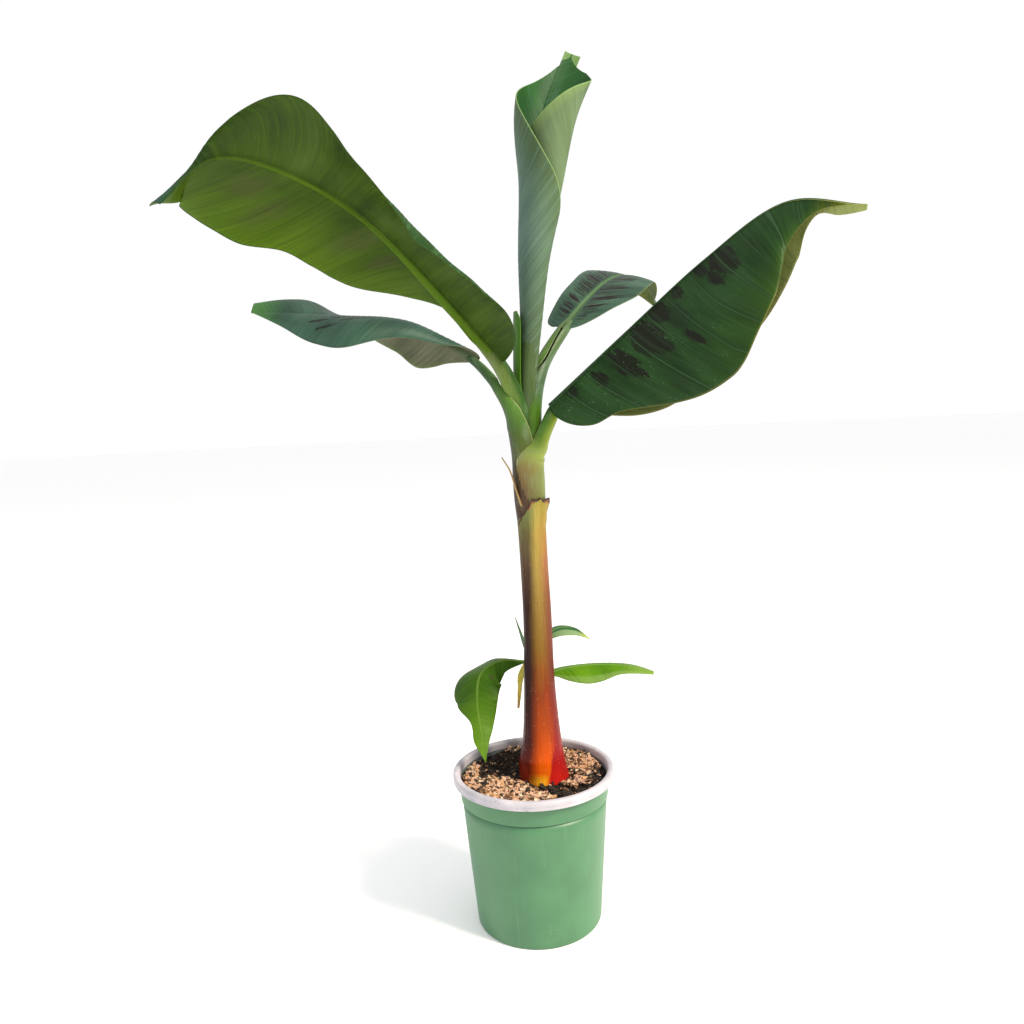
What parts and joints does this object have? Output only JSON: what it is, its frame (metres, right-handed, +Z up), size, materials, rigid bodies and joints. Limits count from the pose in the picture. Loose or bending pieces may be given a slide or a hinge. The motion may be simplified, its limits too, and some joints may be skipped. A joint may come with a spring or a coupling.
{
  "type": "potted young banana plant",
  "caption": "Young banana plant in a round nursery pot: a leaning sheathed stem, open arching leaves, one rolled new leaf and a small sucker; stands on its flat base.",
  "frame": {"origin": "centre of the pot's flat underside", "axes": "+Z up, -Y towards the viewer of the picture, +X to the viewer's right"},
  "size_m": [0.3702, 0.3313, 0.627],
  "materials": {
    "pot_green": "satin",
    "rim_grey": "satin",
    "soil": "matte",
    "stem_sheaths": "satin",
    "dry_sheath": "matte",
    "stalk": "satin",
    "leaf": "satin",
    "rolled_leaf": "satin",
    "sucker_leaf": "satin"
  },
  "bodies": {
    "root": {"pot_wall": "pot_green", "pot_rim": "rim_grey", "potting_soil": "soil", "false_stem": "stem_sheaths", "stalk_right": "stalk", "stalk_left_high": "stalk", "stalk_back": "stalk", "stalk_left_low": "stalk", "rolled_leaf": "rolled_leaf", "leaf_right": "leaf", "leaf_left_high": "leaf", "leaf_left_low": "leaf", "leaf_back": "leaf", "sheath_wing": "stalk", "torn_sheath": "dry_sheath", "dry_strip": "dry_sheath", "sucker_stem": "stem_sheaths", "sucker_spear": "sucker_leaf", "sucker_leaf_left": "sucker_leaf", "sucker_leaf_right": "sucker_leaf", "sucker_leaf_small": "sucker_leaf", "sucker_leaf_dry": "dry_sheath"}
  },
  "joints": []
}
